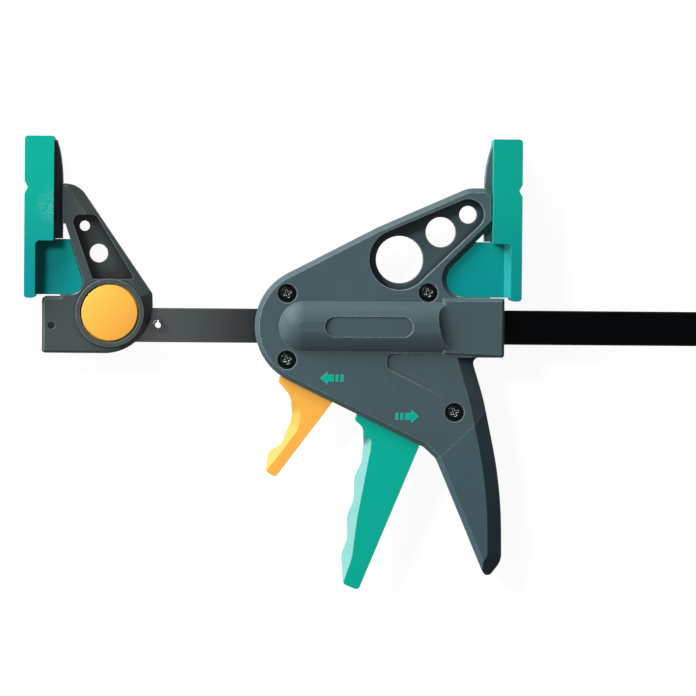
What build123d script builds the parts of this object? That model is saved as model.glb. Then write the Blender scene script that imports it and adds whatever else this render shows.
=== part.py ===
from build123d import *
import math
import os

# A one-handed bar clamp, set up to spread, lying on its side. All sizes are in millimetres.
# The pieces are drawn with the bar's axis on X, Y across the bar and Z through the flat of the tool.
# They are written out moved by PAD_MIDDLE, which puts the origin in the middle of the sliding
# pad's working face. X is then the way that face looks, and Z = -CREST is the bench.
# A corner of an outline is (x, y, radius).

os.makedirs("parts", exist_ok=True)

# Bar
BAR_HEIGHT = 20.0
BAR_THICKNESS = 7.0
BAR_LENGTH = 500.0
BAR_BREAK = 0.5
BAR_GAP = 0.3
BAR_JAW_GAP = 0.1
STOP_PIN_RADIUS = 3.0
STOP_PIN_BORE = 1.75
STOP_PIN_LENGTH = 17.0
STOP_PIN_SLOT = 1.0
STOP_PIN_INSET = 12.0
STOP_PIN_CLEAR = 3.4

# Sliding pad and fixed pad
PAD_BOTTOM = 15.5
PAD_HEIGHT = 94.5
PAD_HALF = 18.0
PAD_FRONT = 6.5
PAD_DEPTH = 17.1
PAD_SKIRT_BOTTOM = 49.0
PAD_SKIRT_EDGE = 0.8
PAD_SKIRT_FILLET = 2.6
PAD_NOTCH_UP = 64.5
PAD_NOTCH_HALF = 3.6
PAD_NOTCH_DEPTH = 1.9
PAD_NOTCH_EDGE = 0.8
PAD_NOTCH_ROOT = 1.2
PAD_ROUND = 2.0
PAD_TOP_WALL = 2.3
PAD_FLARE = 3.4
PAD_FIT = 0.05
TONGUE_HALF = 9.0
TONGUE_BOTTOM = 17.6
TONGUE_TOP = 49.9
TONGUE_TIP = 26.2
TONGUE_TIP_ROUND = 0.6
TONGUE_GAP = 0.5
SLIDING_TONGUE_SLOPE = 44.8
SLIDING_TONGUE_ROUND = 10.5
FIXED_TONGUE_SLOPE = 72.0
FIXED_TONGUE_ROUND = 7.0
FIXED_TONGUE_GAP_TOP = 9.0
SPREAD = 290.0

# Head of each jaw, a T-shaped rib that the pad slides over
HEAD_HALF = 11.0
HEAD_THICKNESS = 4.0
HEAD_RIB_HALF = 7.0
SLIDING_HEAD_TOP_DEPTH = 17.0
SLIDING_HEAD_REAR_DEPTH = 21.5
FIXED_HEAD_TOP_DEPTH = 18.6
FIXED_HEAD_REAR_DEPTH = 22.1
HEAD_REAR_UP = 84.0
HEAD_TOP_LEAN = 0.35
HEAD_REAR_LEAN = 0.02

# Housing, both shells together
HOUSING_HALF = 12.0
WALL = 2.4
RIM = 2.6
NOSE = (-198.0, -1.2, 34.8)
SHOULDER = (-84.2, 58.0, 30.0)
TIP = (-31.2, 81.4, 12.0)
TIP_EDGE = 17.8
TIP_CORNER = (-20.6, 81.4, 3.0)
TIP_SLOPE_UP = 73.6
TONGUE_BEVEL = 2.6
HIP = (-56.3, -70.0, 6.0)
HANDLE_TOP = (-48.4, -77.3, 12.0)
HANDLE_END = (-18.8, -147.8, 3.0)
HANDLE_HEEL = (-10.0, -136.6, 12.0)
HANDLE_BACK = (-10.5, -93.5, 265.0)
HANDLE_WAIST = (-21.3, -41.5, 120.0)
HANDLE_NECK_X = -28.6
HANDLE_NECK_ROUND = 3.5
REAR_BEVEL = 8.4
REAR_BEVEL_DEPTH = 7.5
REAR_BEVEL_LEFT = 12.0
REAR_BEVEL_ROUND = 3.0
REAR_BEVEL_HEEL_ROUND = 14.0
REAR_BEVEL_FOOT = 51.0
SEAM_RISE = 20.4
SEAM_RUN = 21.5
SEAM_ROUND = 12.0
SEAM_CLIMB = 53.0
SLEEVE = 2.6
SLEEVE_GAP = 0.2

# Collar where the bar leaves the housing
COLLAR_END = 9.7
COLLAR_LEFT = 46.0
COLLAR_UP = 16.9
COLLAR_DOWN = 17.5
COLLAR_RAISE = 1.4
COLLAR_RIM = 1.5
COLLAR_ROUND = 1.6
COLLAR_BLOCK = 14.0

# Barrel over the drive spring, with the scoop that lets it down to the collar
CREST = 18.0
CREST_FLAT = 3.0
BARREL_HALF_WIDTH = 14.5
BARREL_LEFT = -141.2
BARREL_END_WALL = 3.0
BARREL_SKIN = 2.1
SCOOP_RADIUS = 8.0
SCOOP_X = -40.2
SCOOP_TURN = 10.0
LABEL_LEFT = -114.4
LABEL_RIGHT = -63.1
LABEL_HALF = 5.9
LABEL_DEPTH = 1.1

# Shallow ramp below the barrel, which runs out to the right
RAMP_LEFT = -78.0
RAMP_RIGHT = -44.0
RAMP_UP = -15.6
RAMP_DOWN = -24.2
RAMP_FALL = 17.0
RAMP_DEPTH = 0.8
RAMP_ROUND = 3.6

# Through holes beside the pad, in a recess that wraps round them
HOLES = [(-71.0, 39.4, 13.8), (-47.0, 55.6, 8.8), (-31.1, 65.95, 5.15)]
HOLE_WALL = 2.2
RECESS_DEPTH = 9.0
RECESS_MARGIN = 4.0

# Housing screws
SCREWS = [(-136.6, 19.2), (-136.5, -19.6), (-54.3, 20.2), (-38.4, -49.6)]
SCREW_HEAD_RADIUS = 4.5
SCREW_HEAD_HEIGHT = 2.6
SCREW_HEAD_ROUND = 1.4
SCREW_SINK_RADIUS = 5.6
SCREW_SINK_DEPTH = 2.8
SCREW_RADIUS = 2.0
SCREW_LENGTH = 15.0
SCREW_TURN = 20.0
SCREW_GAP = 0.05
SCREW_NEAR_GAP = 0.3
SCREW_END_GAP = 0.5
SINK_WALL = 1.6
SINK_FLOOR = 1.6
BOSS_WALL = 2.4
CROSS_LENGTH = 4.8
CROSS_WIDTH = 1.1
CROSS_DEPTH = 1.6

# Gaps and fits that several pieces share
RUNNING_FIT = 0.05
PIN_FIT = 0.02
PIN_END_GAP = 0.05
PIN_BREAK = 0.4
SIDE_GAP = 0.3
SLOT_GAP = 0.5

# Pump lever
LEVER_PIVOT_X = -66.0
LEVER_PIVOT_Y = -30.0
LEVER_PIN_RADIUS = 3.0
LEVER_HALF = 8.4
LEVER_HEAD_HALF = 5.6
LEVER_HEAD_LOW = 13.5
LEVER_EYE_RADIUS = 7.5
LEVER_NOSE_RADIUS = 4.0
LEVER_NOSE_LEFT = 4.9
LEVER_NOSE_UP = 14.0
LEVER_BEVEL = 7.4
LEVER_BEVEL_DEPTH = 5.6
LEVER_BEVEL_LINE = [
    (-110.0, -64.6, 0),
    (-86.6, -64.6, 3.0),
    (-87.1, -71.5, 30.0),
    (-94.9, -112.9, 60.0),
    (-97.5, -134.8, 20.0),
    (-103.0, -151.0, 0),
]
LEVER_BEAK = (-95.0, -50.8, 0.8)
LEVER_BEAK_TIP = (-96.3, -54.8, 1.2)
LEVER_THROAT = (-91.5, -59.0, 5.0)
LEVER_GRIP = [
    (-91.0, -70.5, 20.0),
    (-92.0, -80.0, 14.0),
    (-96.3, -88.0, 14.0),
    (-96.3, -102.0, 14.0),
    (-100.5, -110.5, 14.0),
    (-100.1, -125.0, 14.0),
    (-103.7, -133.5, 14.0),
]
LEVER_TOE_FRONT = (-102.4, -150.6, 2.0)
LEVER_TOE = (-93.8, -154.2, 2.4)
LEVER_BACK = (-58.4, -68.7, 0)
LEVER_SLOT_LEFT = 1.6
LEVER_SLOT_RIGHT = 5.0
LEVER_SLOT_LIP = 0.6
LEVER_SLOT_TOP = 12.0

# Release trigger
TRIGGER_PIVOT_X = -117.0
TRIGGER_PIVOT_Y = -32.0
TRIGGER_PIN_RADIUS = 2.0
TRIGGER_HALF = 7.6
TRIGGER_HEAD_HALF = 5.0
TRIGGER_HEAD_LEFT = 8.0
TRIGGER_EYE_RADIUS = 5.0
TRIGGER_NOSE_RADIUS = 2.6
TRIGGER_NOSE_UP = 11.0
TRIGGER_BEVEL = 8.0
TRIGGER_BEVEL_DEPTH = 5.4
TRIGGER_BEVEL_LINE = [
    (-150.0, -14.0, 0),
    (-135.7, -38.3, 60.0),
    (-127.9, -50.0, 9.0),
    (-129.3, -59.6, 12.0),
    (-138.7, -72.9, 60.0),
    (-151.0, -88.0, 0),
]
TRIGGER_BEAK = (-140.6, -29.6, 0.8)
TRIGGER_BEAK_TIP = (-141.2, -32.6, 1.0)
TRIGGER_GRIP = [
    (-134.0, -41.0, 12.0),
    (-133.0, -53.5, 16.0),
    (-139.4, -69.4, 5.0),
    (-146.8, -73.4, 5.0),
]
TRIGGER_TOE_FRONT = (-148.4, -84.8, 3.2)
TRIGGER_TOE = (-142.8, -88.4, 1.8)
TRIGGER_BACK = (-109.2, -43.6, 0)
TRIGGER_SLOT_LEFT = 4.0
TRIGGER_SLOT_RIGHT = 6.5
TRIGGER_SLOT_TOP = 0.8

# Drive plates and drive spring
PLATE_COUNT = 3
PLATE_THICKNESS = 2.5
PLATE_HALF_WIDTH = 9.0
PLATE_UP = 19.0
PLATE_DOWN = 22.0
PLATE_ROUND = 1.5
PLATE_GAP = 0.3
SPRING_INNER = 10.75
SPRING_WIRE = 1.5
DRIVE_SPRING_HALF_TURNS = 12
SEAT_X = -112.0
SEAT_THICKNESS = 3.0
SEAT_HALF = 14.0
STOP_RIB = 2.4
STOP_RIB_LAP = 6.0

# Brake plate and brake spring
BRAKE_X = -127.0
BRAKE_UP = 24.0
BRAKE_TOP = 27.0
BRAKE_DOWN = 28.2
BRAKE_THICKNESS = 3.0
BRAKE_TILT = 3.0
BRAKE_SLOT_GAP = 0.35
BRAKE_RIB = 2.6
BRAKE_RIB_LAP = 1.5
BRAKE_RIB_HEIGHT = 20.0
BRAKE_SPRING_HALF_TURNS = 12
BRAKE_SPRING_RADIUS = 1.95
BRAKE_SPRING_WIRE = 0.7
BRAKE_SPRING_Y = -25.4
BRAKE_SEAT_X = -136.5
BRAKE_SEAT_THICKNESS = 6.0
NOSE_BLOCK_RIGHT = -148.0

# Fixed jaw, with x as the depth behind its working face
JAW_HALF = 12.0
JAW_BASE_TOP = (10.4, 16.5, 2.5)
JAW_BASE_FRONT = (10.4, -16.5, 2.0)
JAW_HEEL = (76.0, -16.5, 28.0)
JAW_BUTT = (74.6, 18.4, 4.0)
JAW_SHOULDER = (30.6, 82.7, 14.0)
JAW_ARM_LEFT = (21.0, 82.2, 1.5)
JAW_BEVEL = 6.6
JAW_BEVEL_DEPTH = 6.0
JAW_BEVEL_HEEL = (61.4, -16.5, 20.0)
JAW_BEVEL_BUTT = (74.8, 3.0, 14.0)
JAW_BEVEL_RISE = (75.0, 19.0, 6.0)
JAW_BEVEL_FOOT = 47.0
JAW_RIM = 1.6
JAW_POCKET_DEPTH = 8.5
JAW_POCKET = [(26.6, 64.2, 4.2), (41.4, 64.2, 4.2), (64.6, 26.6, 1.5), (39.8, 26.6, 1.5)]
JAW_HOLES = [(34.9, 57.7, 3.0), (43.2, 41.8, 5.4)]
JAW_EYE = (16.0, -0.4, 2.2)
JAW_END_WALL = 2.1

# Release button, its spring and the lock pin
BUTTON_X = 50.0
BUTTON_Y = 7.0
BUTTON_RADIUS = 16.9
BUTTON_GAP = 0.4
BUTTON_TOP = 14.2
BUTTON_CROWN = 1.0
BUTTON_EDGE = 1.0
BUTTON_SKIRT = 2.0
BUTTON_SKIRT_BOTTOM = 10.6
BUTTON_SKIRT_DEPTH = 1.6
BUTTON_TRAVEL = 5.0
BUTTON_RING = 2.6
BUTTON_RING_TOP = 13.2
WELL_FLOOR = 5.2
LOCK_PIN_RADIUS = 4.5
LOCK_PIN_UP = 12.6
LOCK_NECK_RADIUS = 2.2
LOCK_COLLAR_TOP = 1.0
LOCK_GAP = 0.1
LOCK_END_GAP = 0.6
BUTTON_SPRING_RADIUS = 10.5
BUTTON_SPRING_WIRE = 0.7
BUTTON_SPRING_HALF_TURNS = 5

# Derived places
PAD_TOP = PAD_BOTTOM + PAD_HEIGHT
PAD_MIDDLE = PAD_BOTTOM + PAD_HEIGHT / 2
COLLAR_TOP = HOUSING_HALF + COLLAR_RAISE
SINK_LEVEL = HOUSING_HALF - SCREW_SINK_DEPTH
PIN_HALF = HOUSING_HALF - WALL / 2
BUTTON_SEAT = BUTTON_SKIRT_BOTTOM + BUTTON_SKIRT_DEPTH
FIXED_FACE = -SPREAD
BAR_LEFT = FIXED_FACE + JAW_BASE_FRONT[0] + JAW_END_WALL
BAR_RIGHT = BAR_LEFT + BAR_LENGTH
FAR = 300.0
LAP = 1.0


def face_up(edges):
    """Face from closed edges, looking along +Z."""
    face = make_face(edges).faces()[0]
    if face.normal_at().Z < 0:
        face = -face
    return face


def outline(corners):
    """Closed face from (x, y, radius) corners, each rounded to its radius."""
    points = [Vector(x, y) for x, y, radius in corners]
    turns = []
    for i, (x, y, radius) in enumerate(corners):
        here = points[i]
        if radius == 0:
            turns.append((here, None, here))
            continue
        before = (points[i - 1] - here).normalized()
        after = (points[(i + 1) % len(points)] - here).normalized()
        half = math.radians(before.get_angle(after)) / 2
        inward = (before + after).normalized()
        reach = radius / math.tan(half)
        middle = here + inward * (radius / math.sin(half) - radius)
        turns.append((here + before * reach, middle, here + after * reach))
    edges = []
    for i, (start, middle, end) in enumerate(turns):
        if middle is not None:
            edges.append(ThreePointArc(start, middle, end))
        edges.append(Line(end, turns[(i + 1) % len(turns)][0]))
    return face_up(edges)


def slab(face, low, high, taper=0.0):
    """Flat piece of the face's outline between two heights."""
    return Pos(0, 0, low) * extrude(face, high - low, taper=taper)


def bevelled(face, low, high, rim):
    """Flat piece with a 45 degree bevel of size rim round its upper edge."""
    return slab(face, low, high - rim) + slab(face, high - rim, high, taper=45)


def broad_bevel(keep, half, width, depth):
    """What a broad bevel takes off the near side of a piece, outside the keep outline."""
    straight = half - depth
    lean = math.degrees(math.atan(width / depth))
    kept = slab(keep, straight, half + RUNNING_FIT, taper=lean)
    return block((-FAR, FAR), (-FAR, FAR), (straight, half + LAP)) - kept


def block(x, y, z):
    """Box between (low, high) pairs."""
    size = [high - low for low, high in (x, y, z)]
    centre = [(high + low) / 2 for low, high in (x, y, z)]
    return Pos(*centre) * Box(*size)


def post(x, y, radius, low, high):
    """Round post along Z."""
    return Pos(x, y, (low + high) / 2) * Cylinder(radius, high - low)


def drill(x, y, radius):
    """Round hole right through the tool along Z."""
    return post(x, y, radius, -FAR, FAR)


def disc(x, y, radius):
    """Round face."""
    return Pos(x, y) * Circle(radius).face()


def both_sides(half):
    """A piece and its mirror image on the far side of the flat plane."""
    return half + mirror(half, Plane.XY)


def coil(radius, wire, length, half_turns):
    """Compression spring along Z from 0 to length over the wire, made of tilted half turns."""
    rise = (length - wire) / half_turns
    spring = Part()
    for i in range(half_turns):
        side = 1 - 2 * (i % 2)
        low = wire / 2 + i * rise
        start = Vector(side * radius, 0, low)
        end = Vector(-side * radius, 0, low + rise)
        normal = Vector(0, side, 0).cross(end - start)
        section = Plane(start, x_dir=(1, 0, 0), z_dir=(0, 1, 0)) * Circle(wire / 2)
        spring += revolve(section, Axis((start + end) / 2, normal), 180)
    return spring


def bar_hole(low, high, gap):
    """Clear way for the bar between two places along X."""
    half_height = BAR_HEIGHT / 2 + gap
    half_thickness = BAR_THICKNESS / 2 + gap
    return block((low, high), (-half_height, half_height), (-half_thickness, half_thickness))


def keep_solid(part):
    """The one solid of a part, as the largest one."""
    return part.solids().sort_by(SortBy.VOLUME)[-1]


# Pads and the jaw heads inside them, with X as the depth behind the working face
def tongue_face(slope, radius, gap, top, front):
    """Outline of the pad's tongue, or of the space it needs when gap isn't 0."""
    lean = math.radians(slope)
    low = TONGUE_BOTTOM - gap / 2
    shift = gap / math.sin(lean)
    tip = TONGUE_TIP + shift - (top - TONGUE_TOP) / math.tan(lean)
    reach = TONGUE_TIP + shift + (TONGUE_TOP - low) / math.tan(lean)
    return outline(
        [
            (front, low, 0),
            (reach, low, radius + gap),
            (tip, top, TONGUE_TIP_ROUND),
            (front, top, 0),
        ]
    )


def head_face(top_depth, rear_depth):
    """Outline of the jaw's rib inside the pad, down to the top of the tongue."""
    front = PAD_FRONT + PAD_FIT
    top = PAD_TOP - PAD_TOP_WALL - PAD_FIT
    low = TONGUE_TOP + SIDE_GAP
    edges = [
        Line((front, low), (front, top)),
        Line((front, top), (top_depth, top)),
        Spline(
            (top_depth, top),
            (rear_depth, HEAD_REAR_UP),
            tangents=[(HEAD_TOP_LEAN, -1), (HEAD_REAR_LEAN, -1)],
        ),
        Line((rear_depth, HEAD_REAR_UP), (rear_depth, low)),
        Line((rear_depth, low), (front, low)),
    ]
    return face_up(edges)


def jaw_head(top_depth, rear_depth):
    """T-shaped rib of a jaw."""
    front = PAD_FRONT + PAD_FIT
    low = TONGUE_TOP + SIDE_GAP
    top = PAD_TOP - PAD_TOP_WALL - PAD_FIT
    rib = slab(head_face(top_depth, rear_depth), -HEAD_RIB_HALF, HEAD_RIB_HALF)
    plate = block((front, front + HEAD_THICKNESS), (low, top), (-HEAD_HALF, HEAD_HALF))
    return rib + plate


def pad_side():
    """Side view of a pad without its tongue: a front plate and a deep skirt over the jaw's head."""
    return outline(
        [
            (0, PAD_BOTTOM, PAD_ROUND),
            (0, PAD_TOP, PAD_ROUND),
            (PAD_DEPTH, PAD_TOP, PAD_ROUND / 2),
            (PAD_DEPTH, PAD_SKIRT_BOTTOM, PAD_SKIRT_EDGE),
            (PAD_FRONT, PAD_SKIRT_BOTTOM, PAD_SKIRT_FILLET),
            (PAD_FRONT, PAD_BOTTOM, PAD_ROUND),
        ]
    )


def pad_flare():
    """Sloping fillet between the front plate and one side of the tongue."""
    root = TONGUE_HALF - LAP
    section = outline(
        [
            (PAD_FRONT, root, 0),
            (PAD_FRONT, TONGUE_HALF + PAD_FLARE, 0),
            (PAD_FRONT + PAD_FLARE, TONGUE_HALF, 0),
            (PAD_FRONT + PAD_FLARE, root, 0),
        ]
    )
    upright = Pos(0, PAD_SKIRT_BOTTOM, 0) * Rot(90, 0, 0)
    return upright * slab(section, 0, PAD_SKIRT_BOTTOM - TONGUE_BOTTOM)


def pad_groove():
    """V groove across the working face, for round work."""
    middle = PAD_BOTTOM + PAD_NOTCH_UP
    mouth = PAD_NOTCH_HALF + LAP
    section = outline(
        [
            (-LAP, middle + mouth, 0),
            (0, middle + PAD_NOTCH_HALF, PAD_NOTCH_EDGE),
            (PAD_NOTCH_DEPTH, middle, PAD_NOTCH_ROOT),
            (0, middle - PAD_NOTCH_HALF, PAD_NOTCH_EDGE),
            (-LAP, middle - mouth, 0),
        ]
    )
    return slab(section, -PAD_HALF - LAP, PAD_HALF + LAP)


def pad(slope, radius):
    """Soft pad with its working face at X = 0, its tongue and the T slot for the jaw's head."""
    body = slab(pad_side(), -PAD_HALF, PAD_HALF)
    tongue = tongue_face(slope, radius, 0, TONGUE_TOP, PAD_FRONT / 2)
    body += slab(tongue, -TONGUE_HALF, TONGUE_HALF)
    body += both_sides(pad_flare())
    slot = (TONGUE_TOP + SIDE_GAP - PAD_FIT, PAD_TOP - PAD_TOP_WALL)
    plate_half = HEAD_HALF + PAD_FIT
    rib_half = HEAD_RIB_HALF + PAD_FIT
    plate_back = PAD_FRONT + HEAD_THICKNESS + 2 * PAD_FIT
    body -= block((PAD_FRONT, plate_back), slot, (-plate_half, plate_half))
    body -= block((PAD_FRONT, PAD_DEPTH + LAP), slot, (-rib_half, rib_half))
    return body - pad_groove()


def to_sliding(part):
    """Turns a piece drawn behind X = 0 to face +X, as on the sliding jaw."""
    return mirror(part, Plane.YZ)


def to_fixed(part):
    """Moves a piece drawn behind X = 0 to the fixed jaw."""
    return Pos(FIXED_FACE, 0, 0) * part


# Housing
def housing_outline():
    """Outline of housing and handle, before the tongue's space is cut."""
    return outline(
        [
            NOSE,
            HIP,
            HANDLE_TOP,
            HANDLE_END,
            HANDLE_HEEL,
            HANDLE_BACK,
            HANDLE_WAIST,
            (HANDLE_NECK_X, -COLLAR_DOWN, HANDLE_NECK_ROUND),
            (-COLLAR_END, -COLLAR_DOWN, COLLAR_ROUND),
            (-COLLAR_END, TIP_SLOPE_UP, 0),
            TIP_CORNER,
            TIP,
            SHOULDER,
        ]
    )


def rear_bevel():
    """What the broad bevel behind the handle takes off the near side."""
    rise = (HANDLE_WAIST[1] + COLLAR_DOWN) / (HANDLE_WAIST[0] - HANDLE_NECK_X)
    foot = math.radians(REAR_BEVEL_FOOT)
    keep = outline(
        [
            (HANDLE_NECK_X + COLLAR_DOWN / rise, 0, 0),
            (-FAR, 0, 0),
            (-FAR, -FAR, 0),
            (HANDLE_HEEL[0] - FAR * math.cos(foot), HANDLE_HEEL[1] - FAR * math.sin(foot), 0),
            (HANDLE_HEEL[0], HANDLE_HEEL[1], REAR_BEVEL_HEEL_ROUND),
            HANDLE_BACK,
            HANDLE_WAIST,
        ]
    )
    left = HANDLE_NECK_X - REAR_BEVEL_LEFT
    around = outline(
        [(left, -COLLAR_DOWN, REAR_BEVEL_ROUND), (left, -FAR, 0), (0, -FAR, 0), (0, -COLLAR_DOWN, 0)]
    )
    cut = broad_bevel(keep, HOUSING_HALF, REAR_BEVEL, REAR_BEVEL_DEPTH)
    return cut & slab(around, 0, CREST)


def scoop():
    """Hollow curve, a little skew, that takes the barrel's end down to the collar's face."""
    hollow = Rot(90, 0, 0) * Cylinder(SCOOP_RADIUS, FAR)
    beyond = block((0, FAR), (-FAR, FAR), (-SCOOP_RADIUS, FAR))
    return Pos(SCOOP_X, 0, COLLAR_TOP + SCOOP_RADIUS) * Rot(0, 0, SCOOP_TURN) * (hollow + beyond)


def barrel(shrink):
    """Raised half-round over the spring, with a domed end, made smaller by shrink."""
    rise = CREST - HOUSING_HALF
    spread = CREST_FLAT**2 - BARREL_HALF_WIDTH**2
    centre = (CREST**2 - HOUSING_HALF**2 + spread) / (2 * rise)
    radius = math.hypot(BARREL_HALF_WIDTH, HOUSING_HALF - centre) - shrink
    left = BARREL_LEFT + shrink
    right = SCOOP_X + SCOOP_RADIUS / 2
    dome_x = BARREL_LEFT + BARREL_HALF_WIDTH
    middle = (dome_x + right) / 2
    round_bar = Pos(dome_x, 0, centre) * Sphere(radius)
    round_bar += Pos(middle, 0, centre) * Rot(0, 90, 0) * Cylinder(radius, right - dome_x)
    return (round_bar & block((left, right), (-radius, radius), (0, CREST - shrink))) - scoop()


def seam_region(gap):
    """Outline of everything that the soft sleeve covers."""
    slope = SEAM_RISE / SEAM_RUN
    climb = math.radians(SEAM_CLIMB)
    left = HANDLE_TOP[0] - SEAM_RUN
    return outline(
        [
            (left, HANDLE_TOP[1] - SEAM_RUN * slope - gap, 0),
            (HANDLE_TOP[0] + SEAM_RUN, HANDLE_TOP[1] + SEAM_RISE - gap, SEAM_ROUND),
            (0, HANDLE_TOP[1] + SEAM_RISE - gap - (HANDLE_TOP[0] + SEAM_RUN) * math.tan(climb), 0),
            (0, -FAR, 0),
            (left, -FAR, 0),
        ]
    )


def recess_face(margin):
    """Outline wrapped round the first and last through hole."""
    ends = [HOLES[0], HOLES[-1]]
    circles = [disc(x, y, radius + margin) for x, y, radius in ends]
    edges = [edge for circle in circles for edge in circle.edges()]
    return make_hull(edges).face()


def ramp():
    """Shallow hollow below the barrel whose floor rises to the face on the right."""
    side = outline(
        [
            (RAMP_LEFT, RAMP_UP, RAMP_ROUND),
            (RAMP_LEFT, RAMP_DOWN, RAMP_ROUND),
            (RAMP_RIGHT, RAMP_DOWN - RAMP_FALL, 0),
            (RAMP_RIGHT, RAMP_UP, 0),
        ]
    )
    rise = math.degrees(math.atan(RAMP_DEPTH / (RAMP_RIGHT - RAMP_LEFT)))
    floor = Rot(0, -rise, 0) * block((-FAR, 0), (-FAR, FAR), (0, CREST))
    return slab(side, HOUSING_HALF - 2 * RAMP_DEPTH, CREST) & Pos(RAMP_RIGHT, 0, HOUSING_HALF) * floor


def near_blank():
    """Outside of the near half, solid, with its barrel, collar, bevels and recess."""
    plate = bevelled(housing_outline(), 0, HOUSING_HALF, RIM)
    plate -= block((-TIP_EDGE, FAR), (COLLAR_UP, FAR), (-LAP, CREST))
    plate -= rear_bevel()
    plate -= tongue_bevel()
    plate -= ramp()
    plate += barrel(0)
    collar = outline(
        [
            (-COLLAR_LEFT, -COLLAR_DOWN + COLLAR_ROUND, 0),
            (-COLLAR_END, -COLLAR_DOWN, COLLAR_ROUND),
            (-COLLAR_END, COLLAR_UP, COLLAR_ROUND),
            (-COLLAR_LEFT, COLLAR_UP, 0),
        ]
    )
    plate += bevelled(collar, 0, COLLAR_TOP, COLLAR_RIM)
    return plate - slab(recess_face(RECESS_MARGIN), HOUSING_HALF - RECESS_DEPTH, CREST)


def tongue_room(gap):
    """Outline of the space in the sliding jaw for the pad's tongue, larger all round by gap."""
    return tongue_face(
        SLIDING_TONGUE_SLOPE, SLIDING_TONGUE_ROUND, gap, TIP[1] - TONGUE_TIP / 2, -TONGUE_TIP
    )


def tongue_space(gap):
    """Space in the sliding jaw for the pad's tongue, right through it."""
    return to_sliding(slab(tongue_room(gap), -CREST, CREST))


def tongue_bevel():
    """What the bevel round the tongue's space takes off the near side."""
    low = HOUSING_HALF - TONGUE_BEVEL
    return to_sliding(slab(tongue_room(TONGUE_GAP), low, HOUSING_HALF + RUNNING_FIT, taper=-45))


def sockets():
    """Posts of plastic left standing in the hollow, round the screws, pins and holes."""
    posts = Part()
    for x, y, radius in HOLES:
        posts += post(x, y, radius + HOLE_WALL, -LAP, HOUSING_HALF)
    for x, y in SCREWS:
        posts += post(x, y, SCREW_SINK_RADIUS + SINK_WALL / 4, SINK_LEVEL - SINK_FLOOR, CREST)
        posts += post(x, y, SCREW_RADIUS + BOSS_WALL, -LAP, HOUSING_HALF)
    for x, y, radius, head_half in (
        (LEVER_PIVOT_X, LEVER_PIVOT_Y, LEVER_PIN_RADIUS, LEVER_HEAD_HALF),
        (TRIGGER_PIVOT_X, TRIGGER_PIVOT_Y, TRIGGER_PIN_RADIUS, TRIGGER_HEAD_HALF),
    ):
        posts += post(x, y, radius + BOSS_WALL, head_half + SIDE_GAP, HOUSING_HALF)
    return posts


def ribs():
    """Walls of plastic left standing in the hollow: seats, stops and guides."""
    through = (-LAP, CREST)
    walls = block((SEAT_X - SEAT_THICKNESS, SEAT_X), (-SEAT_HALF, BARREL_HALF_WIDTH), through)
    walls += block((-FAR, NOSE_BLOCK_RIGHT), (-FAR, FAR), through)
    walls += block((-COLLAR_LEFT, 0), (-COLLAR_BLOCK, COLLAR_UP), through)
    for side in (-1, 1):
        middle = BRAKE_X + side * (BRAKE_THICKNESS / 2 + SIDE_GAP + BRAKE_RIB / 2)
        span = (middle - BRAKE_RIB / 2, middle + BRAKE_RIB / 2)
        height = (BRAKE_UP - BRAKE_RIB_LAP, BRAKE_TOP + BRAKE_RIB_HEIGHT)
        walls += block(span, height, through)
    seat_half = BRAKE_SPRING_RADIUS + BRAKE_SPRING_WIRE / 2 + LOCK_GAP
    seat_y = (BRAKE_SPRING_Y - seat_half, BRAKE_SPRING_Y + seat_half)
    walls += block((BRAKE_SEAT_X - BRAKE_SEAT_THICKNESS, BRAKE_SEAT_X), seat_y, through)
    stop = plates_right() + PLATE_GAP
    walls += block((stop, stop + STOP_RIB), (PLATE_UP - STOP_RIB_LAP, SHOULDER[1]), through)
    return walls


def cavity():
    """Hollow of the near half, with the walls, posts and ribs left standing."""
    inside = HOUSING_HALF - WALL
    hollow = slab(offset(housing_outline(), -WALL).face(), 0, inside)
    hollow -= tongue_space(TONGUE_GAP + WALL)
    hollow -= slab(seam_region(-WALL), -LAP, HOUSING_HALF)
    hollow -= Pos(-WALL, 0, -WALL) * rear_bevel()
    spring_end = -COLLAR_LEFT - BARREL_END_WALL
    hollow += barrel(BARREL_SKIN) & block((-FAR, spring_end), (-FAR, FAR), (0, CREST))
    hollow -= slab(recess_face(RECESS_MARGIN + WALL), -LAP, HOUSING_HALF)
    hollow -= block((-TIP_EDGE - WALL, FAR), (COLLAR_UP, FAR), (-LAP, CREST))
    return hollow - sockets() - ribs()


def plates_right():
    """Right face of the drive plates at rest."""
    return LEVER_PIVOT_X - LEVER_NOSE_LEFT - LEVER_NOSE_RADIUS - PLATE_GAP


def lever_slot():
    """Way through the lower wall for the lever over its travel."""
    half = LEVER_HALF + SLOT_GAP
    left = LEVER_BEAK[0] - LEVER_SLOT_LEFT
    right = HANDLE_TOP[0] + LEVER_SLOT_RIGHT
    low = HANDLE_TOP[1] - LEVER_SLOT_TOP
    slot = outline(
        [
            (left, LEVER_BEAK[1] - LEVER_SLOT_TOP, 0),
            (left, LEVER_BEAK[1] + LEVER_HALF, 0),
            (HIP[0] + LEVER_SLOT_TOP / 3, HIP[1] + LEVER_SLOT_TOP, 0),
            (right, HANDLE_TOP[1] + LEVER_SLOT_TOP, 0),
            (right + LEVER_SLOT_LIP, HANDLE_TOP[1] - LEVER_SLOT_TOP / 4, 0),
            (right + LEVER_SLOT_LIP, low, 0),
            (HANDLE_TOP[0] - LEVER_SLOT_TOP, low, 0),
        ]
    )
    return slab(slot, -half, half)


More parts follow.
